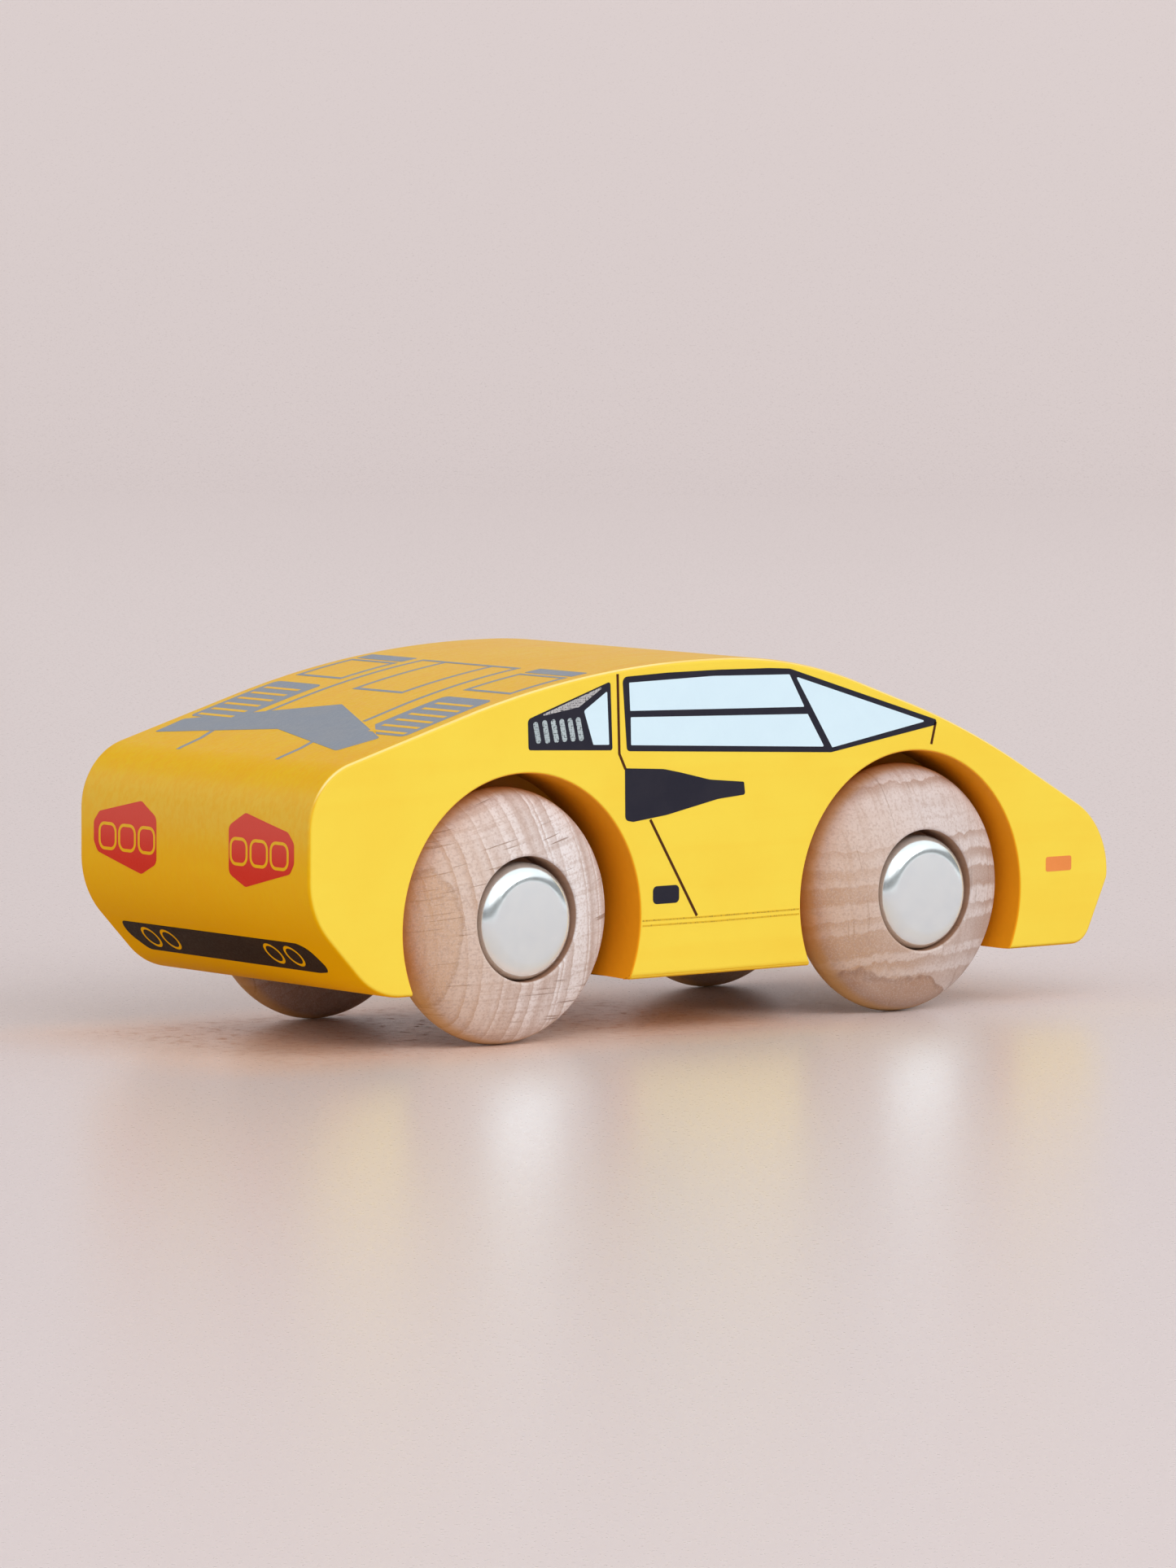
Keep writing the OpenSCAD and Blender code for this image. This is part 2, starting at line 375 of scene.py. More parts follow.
# finishes

paintFinish = {
    # face is the lit copy of the paint for the sides, cut the shaded copy for the faces cut across the board
    "face": (0.92, 0.70, 0.066, 1),
    "cut": (0.86, 0.525, 0.004, 1),
    "deep": (0.86, 0.425, 0.001, 1),
    "edge": (0.96, 0.78, 0.24, 1),
    "tail": (0.86, 0.55, 0.055, 1),
    "arch": (0.92, 0.355, 0.012, 1),
    "archFloor": (0.40, 0.155, 0.004, 1),
    "archCentres": [(-30.5, 14.45), (29.5, 14.45)],
    "archBand": (17.62, 17.8),
    "archDepths": (13.2, 18.0),
    "cloudDepth": 0.28,
    "figureDepth": 0.22,
    "lowShadeBand": (12, 31),
    "lowShadeDepth": 0.85,
    "tailBand": (-61.3, -59.8),
    "tailSheenHeights": (22, 28),
    "tailSheenDepth": 0.8,
    "mottleScale": 1450.0,
    "mottleDepth": 0.42,
    "slopeBand": (-58, -35),
    "slopeDulling": 0.65,
    "rough": (0.32, 0.46),
    "specular": 0.20,
    "edgeSpecular": 1.0,
    "peel": 0.022,
}


def makePaint(finish):
    material, tree, shader, place = newMaterial("yellowPaint")
    clouds = addSpeckle(tree, place, 85.0, 2600.0)
    grain = placeGroup(tree, boardGrain, {"Vector": place, "Fibre Scale": 1.0})
    x, y, z = parted(tree, place)
    facing = parted(tree, addNode(tree, "ShaderNodeTexCoord").outputs["Normal"])
    sideways = maths(tree, "ABSOLUTE", facing[1])
    upward = facing[2]
    # painted shade: the faces cut across the board are painted a deeper tone than the lit sides, as lit and
    # shaded copies of one paint, and they take more of the deep mottling
    tone = blendColour(tree, spread(tree, sideways, 0.7, 0.98), finish["cut"], finish["face"])
    mottledShade = mixed(tree, spread(tree, clouds["Cloud"], 0.35, 0.7), finish["cloudDepth"],
                   spread(tree, grain["Figure"], 0.42, 0.66), finish["figureDepth"])
    mottledShade = times(tree, mottledShade, spread(tree, sideways, 0.7, 0.98, 1.0, 0.35))
    tone = blendColour(tree, mottledShade, tone, finish["deep"])
    # painted shade: the faces cut across the board are painted deeper towards the bottom, where shade falls
    cutFace = spread(tree, sideways, 0.5, 0.9, 1.0, 0.0)
    low = times(tree, spreadMm(tree, z, finish["lowShadeBand"], finish["lowShadeDepth"], 0.0), cutFace)
    tone = blendColour(tree, low, tone, finish["deep"])
    # painted highlight: the top of the tail face is painted paler, standing in for sheen from above
    tail = times(tree, spreadMm(tree, x, finish["tailBand"], finish["tailSheenDepth"], 0.0),
                 spreadMm(tree, z, finish["tailSheenHeights"]))
    tone = blendColour(tree, times(tree, tail, cutFace), tone, finish["tail"])
    across = spread(tree, sideways, 0.6, 0.95, 1.0, 0.0)
    mottle = noise(tree, scaled(tree, place, (1.0, 1.0, 0.55)), finish["mottleScale"], 3.0, 0.6)
    grit = spread(tree, mottle, 0.36, 0.66, 0.0, finish["mottleDepth"])
    tone = blendColour(tree, times(tree, grit, across), tone, finish["deep"])
    # painted highlight: the upward-facing rounded edges are painted paler, and they are also glossier
    edge = times(tree, spread(tree, sideways, 0.25, 0.55), spread(tree, sideways, 0.72, 0.94, 1.0, 0.0))
    edge = times(tree, edge, spread(tree, upward, 0.25, 0.6))
    edgeHighlight = times(tree, edge, spread(tree, clouds["Cloud"], 0.3, 0.6, 0.55, 1.0))
    tone = blendColour(tree, edgeHighlight, tone, finish["edge"])
    gloss = spread(tree, edge, 0.1, 0.8, finish["specular"], finish["edgeSpecular"])
    gloss = times(tree, gloss, maths(tree, "MULTIPLY_ADD", low, -1.15, 1.0))
    sloped = times(tree, spreadMm(tree, x, finish["slopeBand"], finish["slopeDulling"], 0.0),
                   spread(tree, upward, 0.5, 0.8))
    gloss = times(tree, gloss, maths(tree, "SUBTRACT", 1.0, sloped))
    # painted shade: the arch walls are painted a deeper orange that goes dark brown towards the arch floor,
    # where shade falls
    flat = scaled(tree, place, (1.0, 0.0, 1.0))
    reaches = [vectors(tree, "DISTANCE", flat, (archX * mm, 0, archZ * mm))
               for archX, archZ in finish["archCentres"]]
    inArch = spreadMm(tree, maths(tree, "MINIMUM", *reaches), finish["archBand"], 1.0, 0.0)
    depth = spreadMm(tree, maths(tree, "ABSOLUTE", y), finish["archDepths"])
    tone = blendColour(tree, inArch, tone, blendColour(tree, depth, finish["archFloor"], finish["arch"]))
    sheen = mixed(tree, clouds["Specks"], 0.5, grain["Fibres"], 0.5)
    rough = spread(tree, sheen, 0.3, 0.7, *finish["rough"])
    rough = times(tree, rough, maths(tree, "MULTIPLY_ADD", edge, -0.5, 1.0))
    feed(tree, shader, Base_Color=tone, Roughness=rough, Specular_IOR_Level=gloss)
    height = maths(tree, "MULTIPLY_ADD", grain["Fibres"], 0.7, clouds["Specks"])
    height = maths(tree, "MULTIPLY_ADD", times(tree, mottle, across), 3.0, height)
    addBump(tree, shader, height, 0.5, finish["peel"])
    return material


def makeInk(name, colour, dark, rough, dots=None, gloss=0.22, paintedSheen=None):
    # printed ink: slightly uneven cover, paler towards the top as a painted highlight, or with halftone dots
    # where asked
    material, tree, shader, place = newMaterial(name, Specular_IOR_Level=gloss)
    cover = addSpeckle(tree, place, 240.0, 4200.0)
    grain = placeGroup(tree, boardGrain, {"Vector": place, "Fibre Scale": 1.4})
    thin = mixed(tree, spread(tree, cover["Cloud"], 0.35, 0.7), 0.55,
                 spread(tree, cover["Specks"], 0.55, 0.75), 0.45, clamp=True)
    tone = blendColour(tree, thin, colour, dark)
    if paintedSheen:
        # painted highlight: paler towards the top, standing in for sheen from above
        upper = spreadMm(tree, parted(tree, place)[2], paintedSheen["heights"])
        tone = blendColour(tree, upper, tone, paintedSheen["colour"])
    if dots:
        links = {"Vector": place, "Scale": dots["scale"], "Randomness": 0.45}
        screen = addNode(tree, "ShaderNodeTexVoronoi", links).outputs["Distance"]
        tone = blendColour(tree, spread(tree, screen, *dots["rim"]), tone, dots["colour"])
    sheen = mixed(tree, cover["Specks"], 0.6, grain["Fibres"], 0.4)
    feed(tree, shader, Base_Color=tone, Roughness=spread(tree, sheen, 0.3, 0.7, rough - 0.06, rough + 0.12))
    height = maths(tree, "MULTIPLY_ADD", grain["Fibres"], 0.6, cover["Specks"])
    addBump(tree, shader, height, 0.4, 0.015)
    return material


def makeSteel(name, colour, dull, rough, scratch, metal=1.0):
    material, tree, shader, place = newMaterial(name, Metallic=metal)
    scuffs = addSpeckle(tree, place, 420.0, 3500.0)
    drawn = noise(tree, scaled(tree, place, scratch), 2600.0, 2.0, 0.6)
    tone = blendColour(tree, spread(tree, scuffs["Cloud"], 0.35, 0.75), colour, dull)
    sheen = mixed(tree, scuffs["Specks"], 0.5, drawn, 0.5)
    feed(tree, shader, Base_Color=tone, Roughness=spread(tree, sheen, 0.3, 0.7, *rough))
    addBump(tree, shader, sheen, 0.10, 0.002)
    return material


yellowPaint = makePaint(paintFinish)
inkBlack = makeInk("blackInk", (0.013, 0.013, 0.026, 1), (0.021, 0.020, 0.032, 1), 0.46)
inkGlass = makeInk("paleBlueInk", (0.68, 0.88, 0.985, 1), (0.655, 0.85, 0.96, 1), 0.44)
inkRed = makeInk("redInk", (0.675, 0.030, 0.011, 1), (0.64, 0.026, 0.010, 1), 0.46, gloss=0.12,
                 paintedSheen={"heights": (20.5, 27.0), "colour": (0.71, 0.084, 0.061, 1)})
inkGrey = makeInk("greyInk", (0.25, 0.295, 0.355, 1), (0.28, 0.31, 0.35, 1), 0.45)
inkOrange = makeInk("orangeInk", (0.84, 0.28, 0.07, 1), (0.78, 0.25, 0.06, 1), 0.46)
inkBrown = makeInk("brownInk", (0.022, 0.010, 0.004, 1), (0.034, 0.017, 0.007, 1), 0.46, gloss=0.08)
inkSeam = makeInk("seamInk", (0.075, 0.022, 0.007, 1), (0.090, 0.028, 0.009, 1), 0.46, gloss=0.10)
inkScreen = makeInk("screenInk", (0.46, 0.55, 0.58, 1), (0.36, 0.44, 0.47, 1), 0.45,
                    dots={"scale": 3800.0, "rim": (0.46, 0.72), "colour": (0.06, 0.07, 0.08, 1)})
inkCowl = makeInk("cowlInk", (0.50, 0.50, 0.51, 1), (0.42, 0.42, 0.43, 1), 0.45,
                  dots={"scale": 3800.0, "rim": (0.44, 0.68), "colour": (0.05, 0.05, 0.06, 1)})
inkDotted = makeInk("dottedInk", (0.38, 0.25, 0.025, 1), (0.48, 0.31, 0.03, 1), 0.46,
                    dots={"scale": 3000.0, "rim": (0.26, 0.46), "colour": (0.72, 0.46, 0.02, 1)})
capSteel = makeSteel("capSteel", (0.90, 0.98, 1.0, 1), (0.85, 0.935, 0.97, 1), (0.16, 0.22),
                     (1.0, 1.0, 0.15), 0.84)
axleSteel = makeSteel("axleSteel", (0.58, 0.58, 0.59, 1), (0.46, 0.45, 0.45, 1), (0.26, 0.42),
                      (1.0, 0.08, 1.0))
springSteel = makeSteel("springSteel", (0.33, 0.34, 0.37, 1), (0.26, 0.25, 0.26, 1), (0.30, 0.46),
                        (1.0, 1.0, 0.2))
print("finishes made:", len(bpy.data.materials))


# painted body block

bodyShape = {
    "corners": [
        (-52.1, 7.0, 9), (57.9, 7.0, 3), (61.7, 15.1, 2.7), (61.7, 21.6, 10), (38.5, 34.6, 115),
        (10.5, 44.4, 65), (-20.9, 44.4, 135), (-61.7, 32.7, 8), (-61.7, 17, 10)],
    "halfWidth": 22.5,
    "edgeRadius": 0.5,
    "edgeSegments": 6,
    "archCentres": [(-30.5, 14.45), (29.5, 14.45)],
    "archRadius": 17.6,
    "archFloor": 13.3,
    "archOvershoot": 5,
    "archEdge": 0.3,
    "archSegments": 3,
    "sillEdge": 1.0,
    "sillSegments": 4,
    "boreCentres": [(-30.5, 14.75), (31.0, 14.75)],
    "boreRadius": 2.6,
    "cutterSides": 192,
    "nearly": 0.02,
    "smoothAngle": 32,
}


def cutRound(piece, radius, x, z, nearY, farY):
    deselectAll()
    bpy.ops.mesh.primitive_cylinder_add(
        vertices=bodyShape["cutterSides"], radius=radius * mm, depth=abs(farY - nearY) * mm,
        location=(x * mm, (nearY + farY) / 2 * mm, z * mm), rotation=(math.pi / 2, 0, 0))
    cutter = bpy.context.object
    applyModifier(piece, "BOOLEAN", object=cutter, operation="DIFFERENCE", solver="EXACT")
    bpy.data.objects.remove(cutter)


def makeBody(shape):
    half = shape["halfWidth"]
    nearly = shape["nearly"]
    outline = [Vector((across, -half, up)) * mm for across, up in roundPath(shape["corners"])]
    body = traceWire("carBody", outline)
    bpy.ops.mesh.edge_face_add()
    bpy.ops.mesh.extrude_region_move(TRANSFORM_OT_translate={"value": (0, 2 * half * mm, 0)})
    bpy.ops.mesh.select_all(action="SELECT")
    bpy.ops.mesh.normals_make_consistent(inside=False)
    pickEdges(body, lambda a, b: abs(a.y - b.y) < nearly)
    bpy.ops.mesh.bevel(offset=shape["edgeRadius"] * mm, segments=shape["edgeSegments"], affect="EDGES")
    for x, z in shape["archCentres"]:
        for side in (-1, 1):
            farY = side * (half + shape["archOvershoot"])
            cutRound(body, shape["archRadius"], x, z, side * shape["archFloor"], farY)
    for x, z in shape["boreCentres"]:
        cutRound(body, shape["boreRadius"], x, z, -half, half)

    def onArch(point):
        reaches = [math.hypot(point.x - x, point.z - z) for x, z in shape["archCentres"]]
        return min(abs(reach - shape["archRadius"]) for reach in reaches) < nearly

    inner = half - shape["edgeRadius"] - nearly
    sillTop = shape["corners"][0][1] + nearly
    pickEdges(body, lambda a, b: onArch(a) and onArch(b) and min(abs(a.y), abs(b.y)) > inner)
    bpy.ops.mesh.bevel(offset=shape["archEdge"] * mm, segments=shape["archSegments"], affect="EDGES")
    pickEdges(body, lambda a, b: onArch(a) and onArch(b) and abs(a.y - b.y) > shape["sillEdge"]
              and max(a.z, b.z) < sillTop)
    bpy.ops.mesh.bevel(offset=shape["sillEdge"] * mm, segments=shape["sillSegments"], affect="EDGES")
    smoothShade(body, shape["smoothAngle"], weighted=True)
    wear(body, yellowPaint)
    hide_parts("body")
    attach(body, "body")
    return body


carBody = makeBody(bodyShape)
print("body block:", len(carBody.data.polygons), "faces")


# turned wheels and pressed caps

beechTones = {
    "pale": (0.81, 0.77, 0.775, 1),
    "warm": (0.70, 0.61, 0.58, 1),
    "ring": (0.52, 0.40, 0.35, 1),
    "ray": (0.42, 0.29, 0.235, 1),
    "heartAndShade": (0.58, 0.35, 0.19, 1),
    "check": (0.20, 0.095, 0.05, 1),
    "fleck": (0.86, 0.80, 0.77, 1),
    "tread": (0.62, 0.33, 0.07, 1),
    "recessShade": (0.36, 0.18, 0.10, 1),
    "flameAndBounceTone": (0.41, 0.24, 0.155, 1),
    "checkDepth": 0.5,
    "lateDepth": 0.42,
    "rayDepth": 0.40,
    "poreDepth": 0.36,
    "warmDepth": 0.25,
    "fleckDepth": 0.16,
    "treadDepth": 0.70,
    "heartAndShadeBand": (-6, 17),
    "heartAndShadeDrift": 12,
    "flameDrift": 0.9,
    "treadBand": (14.2, 15.1),
    "recessBand": (7.33, 7.42),
    "recessDepths": (16, 17),
    "rough": (0.62, 0.50),
    "fuzz": 0.03,
}
wheelWoods = {
    "rear_right": {
        "pith": (-112.0, 6.0), "ringWidth": 2.3, "wander": 1.0, "fray": 0.4, "ringDepth": 0.80,
        "bandDepth": 0.30, "heartAndShadeTurn": 190, "heartAndShadeDepth": 0.75, "checkDepth": 0.65,
        "flame": (-43.5, 13.0, 4.2, 8.5), "flameDepth": 0.45, "flameAndBounceTone": (0.56, 0.33, 0.17, 1)},
    "front_right": {
        "pith": (38.0, -118.0), "ringWidth": 4.6, "wander": 3.4, "fray": 1.1, "ringDepth": 0.95,
        "bandDepth": 0.60, "heartAndShadeTurn": 205, "heartAndShadeDepth": 0.65, "checkDepth": 0.25,
        "flame": (20.0, -1.0, 20.0, 7.0), "flameDepth": 0.80, "pale": (0.65, 0.58, 0.565, 1),
        "ring": (0.43, 0.30, 0.245, 1)},
    "rear_left": {
        "pith": (-12.0, -46.0), "ringWidth": 2.8, "wander": 1.4, "fray": 0.5, "ringDepth": 0.70,
        "bandDepth": 0.35, "heartAndShadeTurn": 270, "heartAndShadeDepth": 0.95,
        "flame": (-36.0, 8.0, 7.0, 3.0), "flameDepth": 0.40, "heartAndShade": (0.27, 0.125, 0.065, 1)},
    "front_left": {
        "pith": (86.0, 30.0), "ringWidth": 2.6, "wander": 1.5, "fray": 0.6, "ringDepth": 0.70,
        "bandDepth": 0.40, "heartAndShadeTurn": 270, "heartAndShadeDepth": 0.95,
        "flame": (38.0, 20.0, 3.0, 6.5), "flameDepth": 0.40, "heartAndShade": (0.40, 0.22, 0.12, 1)},
}


def makeBeech(name, wood, axleX, axleZ):
    material, tree, shader, place = newMaterial(name, Specular_IOR_Level=0.3)
    grain = placeGroup(tree, endGrain, {
        "Vector": place, "Pith X": wood["pith"][0] * mm, "Pith Z": wood["pith"][1] * mm,
        "Ring Width": wood["ringWidth"] * mm, "Wander": wood["wander"] * mm, "Fray": wood["fray"] * mm})
    clouds = addSpeckle(tree, place, 130.0, 5200.0)
    drift = maths(tree, "SUBTRACT", clouds["Cloud"], 0.5)
    # redder, darker wood towards one side, partly heartwood colour and partly painted shade with warm bounce
    # light: it is turned to the shaded left side on the near wheels and to the underside on the far wheels
    turn = math.radians(wood["heartAndShadeTurn"])
    lean = vectors(tree, "DOT_PRODUCT", place, (math.cos(turn), 0, math.sin(turn)))
    lean = maths(tree, "MULTIPLY_ADD", drift, wood["heartAndShadeDrift"] * mm, lean)
    middle = axleX * math.cos(turn) + axleZ * math.sin(turn)
    heartAndShadeBand = [middle + limit for limit in wood["heartAndShadeBand"]]
    # a darker warm flame with a frayed rim, partly figure in the wood and partly painted shade with warm
    # bounce light, on the near rear wheel's left limb and the near front wheel's underside
    flameX, flameZ, halfX, halfZ = wood["flame"]
    offset = vectors(tree, "SUBTRACT", place, (flameX * mm, 0, flameZ * mm))
    flame = vectors(tree, "LENGTH", scaled(tree, offset, (1 / (halfX * mm), 0, 1 / (halfZ * mm))))
    flame = maths(tree, "MULTIPLY_ADD", drift, wood["flameDrift"], flame)
    rim = times(tree, spread(tree, flame, 0.82, 0.93), spread(tree, flame, 0.95, 0.985, 1.0, 0.0))
    rim = times(tree, rim, spread(tree, grain["Rays"], 0.3, 0.55, 0.0, 0.55))
    # painted light: the tread is painted warm orange, standing in for yellow light bounced from the body,
    # and the turned recess is painted dark brown as painted shade
    reach = vectors(tree, "DISTANCE", scaled(tree, place, (1.0, 0.0, 1.0)), (axleX * mm, 0, axleZ * mm))
    depth = maths(tree, "ABSOLUTE", parted(tree, place)[1])
    recessShade = times(tree, spreadMm(tree, reach, wood["recessBand"], 1.0, 0.0),
                   spreadMm(tree, depth, wood["recessDepths"]))
    tone = blendColour(tree, times(tree, grain["Bands"], wood["bandDepth"]), wood["pale"], wood["warm"])
    for cover, key in (
            (times(tree, grain["Rings"], wood["ringDepth"]), "ring"),
            (times(tree, grain["Late"], wood["lateDepth"]), "ray"),
            (spread(tree, grain["Rays"], 0.46, 0.68, 0.0, wood["rayDepth"]), "ray"),
            (times(tree, grain["Checks"], wood["checkDepth"]), "check"),
            (spreadMm(tree, lean, heartAndShadeBand, 0.0, wood["heartAndShadeDepth"]), "heartAndShade"),
            (spread(tree, flame, 0.92, 0.99, wood["flameDepth"], 0.0), "flameAndBounceTone"),
            (times(tree, rim, wood["flameDepth"]), "check"),
            (spread(tree, clouds["Cloud"], 0.4, 0.75, 0.0, wood["warmDepth"]), "warm"),
            (spread(tree, grain["Pores"], 0.48, 0.68, 0.0, wood["poreDepth"]), "ray"),
            (spread(tree, clouds["Specks"], 0.48, 0.66, 0.0, wood["fleckDepth"]), "fleck"),
            (spreadMm(tree, reach, wood["treadBand"], 0.0, wood["treadDepth"]), "tread"),
            (recessShade, "recessShade")):
        tone = blendColour(tree, cover, tone, wood[key])
    feed(tree, shader, Base_Color=tone, Roughness=spread(tree, grain["Rays"], 0.3, 0.7, *wood["rough"]))
    height = mixed(tree, grain["Pores"], 0.8, grain["Checks"], -1.5)
    height = maths(tree, "MULTIPLY_ADD", grain["Rays"], 0.6, height)
    addBump(tree, shader, height, 0.8, wood["fuzz"])
    return material


runningGear = {
    "axleX": {"front": 31.0, "rear": -30.5},
    "wheelSection": [
        (2.85, 0, 0.3), (15.1, 0, 3.9), (15.1, 6.0, 4.2), (11.6, 8.0, 14), (7.35, 9.6, 0.3), (7.35, 5.0, 0),
        (2.85, 5.0, 0)],
    "wheelFace": 13.8,
    "wheelZ": 15.1,
    "wheelSteps": 144,
    "capSection": [
        (0, 4.6, 0), (6.9, 4.6, 2.2), (6.9, 0, 0.5), (5.7, 0, 0), (5.7, 0.5, 0), (6.4, 0.5, 0),
        (6.4, 4.1, 1.7), (0, 4.1, 0)],
    "capMouth": 19.3,
    "axleZ": 14.8,
    "capSteps": 96,
    "smoothAngle": 40,
}


def makeRunningGear(gear):
    rearX = gear["axleX"]["rear"]
    wheel = turnOnLathe("wheelRearRight", gear["wheelSection"], (rearX, gear["wheelFace"], gear["wheelZ"]),
                        gear["wheelSteps"], True)
    smoothShade(wheel, gear["smoothAngle"])
    cap = turnOnLathe("capRearRight", gear["capSection"], (rearX, gear["capMouth"], gear["axleZ"]),
                      gear["capSteps"], False)
    smoothShade(cap, gear["smoothAngle"])
    for end, axleX in gear["axleX"].items():
        for side in ("right", "left"):
            spot = end + "_" + side
            label = end.capitalize() + side.capitalize()
            if spot == "rear_right":
                pair = (wheel, cap)
            else:
                pair = [copyTo(first, name + label, axleX - rearX, axleX, side == "left")
                        for first, name in ((wheel, "wheel"), (cap, "cap"))]
            wood = {**beechTones, **wheelWoods[spot]}
            wear(pair[0], makeBeech("beech" + label, wood, axleX, gear["wheelZ"]))
            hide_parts("wheel_" + spot)
            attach(pair[0], "wheel_" + spot)
            wear(pair[1], capSteel)
            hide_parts("hub_cap_" + spot)
            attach(pair[1], end + "_axle_set")


makeRunningGear(runningGear)
for nodeName, finish in (("axle", axleSteel), ("lock_washer", springSteel)):
    for name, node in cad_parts.items():
        if nodeName in name:
            wear(node, finish)
print("wheels and caps turned")


# prints on the paint

inkLift = {"base": 0.030, "over": 0.045, "wing": 0.037, "lines": 0.026, "hatch": 0.021}
printTolerance = 0.01
printFaces = {
    # how a flat drawing lies beside the body, which way it looks, and how it is sliced
    "side": {"lay": lambda a, b: Vector((a, -23.5, b)), "looks": Vector((0, -1, 0)), "slices": None},
    "deck": {"lay": lambda a, b: Vector((a, b, 50)), "looks": Vector((0, 0, 1)), "slices": ("x", 0.8)},
    "tail": {"lay": lambda a, b: Vector((-65, a, b)), "looks": Vector((-1, 0, 0)), "slices": ("z", 0.45)},
    "nose": {"lay": lambda a, b: Vector((65, a, b)), "looks": Vector((1, 0, 0)), "slices": ("z", 0.45)},
}


def stripOutline(points, width, radius=0):
    # outline of an inked line of even width through the points
    left, right = [], []
    points = [Vector(p) for p in points]
    for index, point in enumerate(points):
        before = points[max(index - 1, 0)]
        after = points[min(index + 1, len(points) - 1)]
        along = (after - before).normalized()
        across = Vector((-along.y, along.x)) * width / 2
        left.append(point + across)
        right.append(point - across)
    return [(p.x, p.y, radius) for p in left + right[::-1]]


def ovalOutline(a, b, halfA, halfB, count=28):
    turns = [2 * math.pi * k / count for k in range(count)]
    return [(a + halfA * math.cos(t), b + halfB * math.sin(t), 0) for t in turns]


def boxOutline(lowA, highA, lowB, highB, radius):
    return [(lowA, lowB, radius), (highA, lowB, radius), (highA, highB, radius), (lowA, highB, radius)]


def flipA(corners):
    return [(-a, b, radius) for a, b, radius in corners]


def flipB(corners):
    return [(a, -b, radius) for a, b, radius in corners]


def filled(outlines):
    return [(outline, 0) for outline in outlines]


def drawLayer(name, lay, drawings):
    # each drawing is (outline corners, stroke); no stroke means filled
    patches = []
    for corners, stroke in drawings:
        patch = traceWire(name, [lay(a, b) * mm for a, b in roundPath(corners, printTolerance)])
        bpy.ops.mesh.edge_face_add()
        if stroke:
            bpy.ops.mesh.inset(thickness=stroke * mm, depth=0)
            bpy.ops.mesh.delete(type="FACE")
        deselectAll()
        patches.append(patch)
    for patch in patches:
        patch.select_set(True)
    bpy.context.view_layer.objects.active = patches[0]
    if len(patches) > 1:
        bpy.ops.object.join()
    rename(patches[0], name)
    return patches[0]


def sliceLayer(layer, axisName, step):
    # cuts across the drawing let it follow the curved body
    axis = "xyz".index(axisName)
    values = [v.co[axis] / mm for v in layer.data.vertices]
    low, high = min(values), max(values)
    count = int((high - low) / step)
    normal = Vector((0, 0, 0))
    normal[axis] = 1
    for k in range(1, count + 1):
        editAll(layer)
        bpy.ops.mesh.bisect(plane_co=normal * (low + (high - low) * k / (count + 1)) * mm, plane_no=normal)


def printInk(name, face, drawings, lift, ink, slices=None):
    looks = printFaces[face]["looks"]
    layer = drawLayer(name, printFaces[face]["lay"], drawings)
    slices = slices or printFaces[face]["slices"]
    if slices:
        sliceLayer(layer, *slices)
    axis = [index for index in range(3) if abs(looks[index]) > 0.5][0]
    direction = {"use_negative_direction": looks[axis] > 0, "use_positive_direction": looks[axis] < 0}
    direction["use_project_" + "xyz"[axis]] = True
    applyModifier(layer, "SHRINKWRAP", target=carBody, wrap_method="PROJECT", **direction)
    pickFaces(layer, lambda normal: normal.dot(looks) < 0)
    bpy.ops.mesh.flip_normals()
    deselectAll()
    applyModifier(layer, "SOLIDIFY", thickness=inkLift[lift] * mm, offset=1.0, use_even_offset=True)
    made = [layer]
    if face == "side":
        other = editCopy(layer, name.replace("Right", "Left"))
        bpy.ops.transform.resize(value=(1, -1, 1), center_override=(0, 0, 0))
        bpy.ops.mesh.normals_make_consistent(inside=False)
        deselectAll()
        made.append(other)
    for piece in made:
        wear(piece, ink)
        smoothShade(piece, 30)
        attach(piece, "body")


